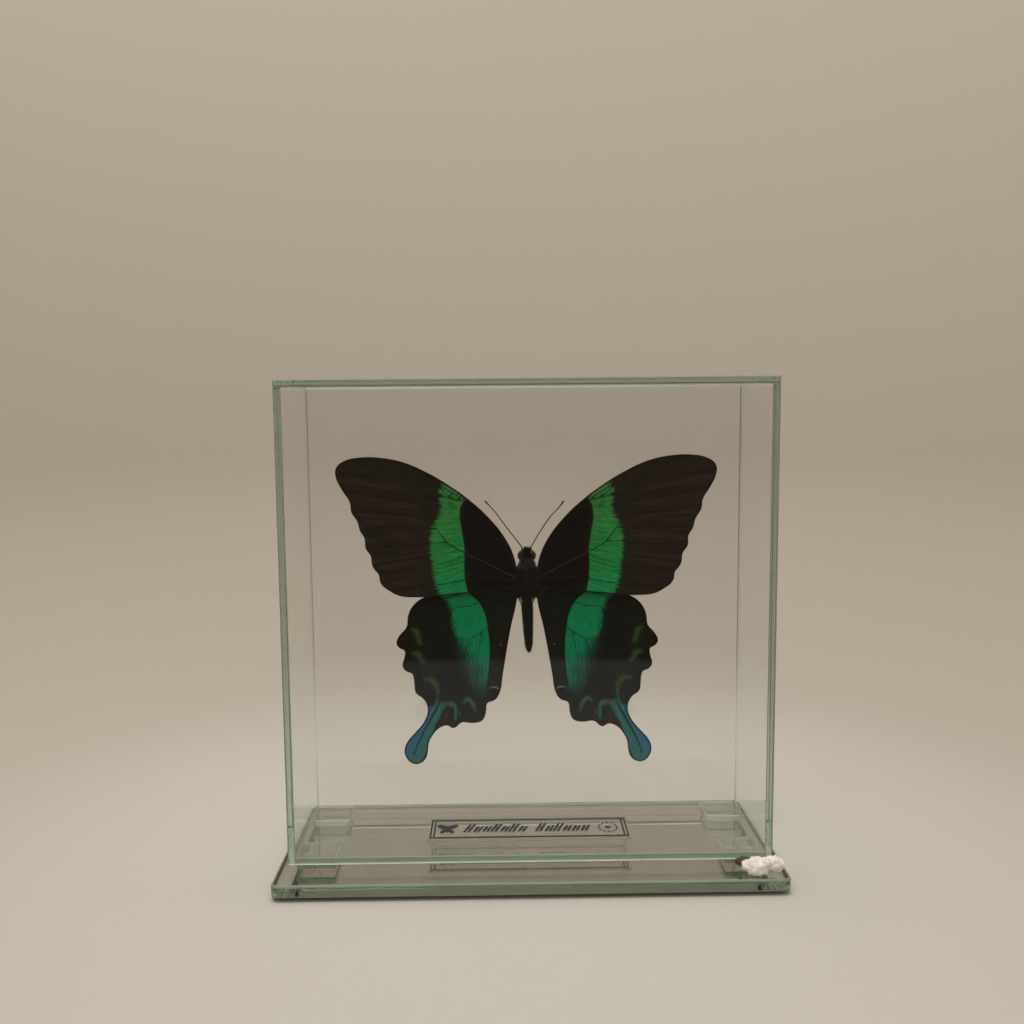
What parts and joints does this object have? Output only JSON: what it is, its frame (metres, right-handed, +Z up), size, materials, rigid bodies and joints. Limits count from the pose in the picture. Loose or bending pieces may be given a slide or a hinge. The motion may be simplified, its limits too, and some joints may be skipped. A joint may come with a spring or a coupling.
{
  "type": "glass display case with a mounted swallowtail butterfly",
  "caption": "Rectangular glass display case on a mirror base, with a spread green-banded swallowtail butterfly fixed upright inside.",
  "frame": {"origin": "centre of the underside, on the plane that the feet stand on", "axes": "+Z up, the case's front pane and the butterfly's upper side face -Y, +X to the right"},
  "size_m": [0.158, 0.063, 0.1567],
  "materials": {
    "mirror_base": "polished",
    "feet": "matte",
    "spacers": "gloss",
    "case_glass": "polished",
    "label_film": "satin",
    "putty": "matte",
    "post": "gloss",
    "body_hair": "matte",
    "wing_scales": "matte",
    "chitin": "satin"
  },
  "bodies": {
    "root": {"base_plate": "mirror_base", "foot_front_left": "feet", "foot_front_right": "feet", "foot_back_left": "feet", "foot_back_right": "feet", "spacer_front_left": "spacers", "spacer_front_right": "spacers", "spacer_back_left": "spacers", "spacer_back_right": "spacers", "floor_pane": "case_glass", "front_pane": "case_glass", "back_pane": "case_glass", "left_pane": "case_glass", "right_pane": "case_glass", "top_pane": "case_glass", "label": "label_film", "putty_lump": "putty", "mounting_post": "post", "butterfly_body": "body_hair", "forewing_left": "wing_scales", "forewing_right": "wing_scales", "hindwing_left": "wing_scales", "hindwing_right": "wing_scales", "antenna_left": "chitin", "antenna_right": "chitin"}
  },
  "joints": []
}
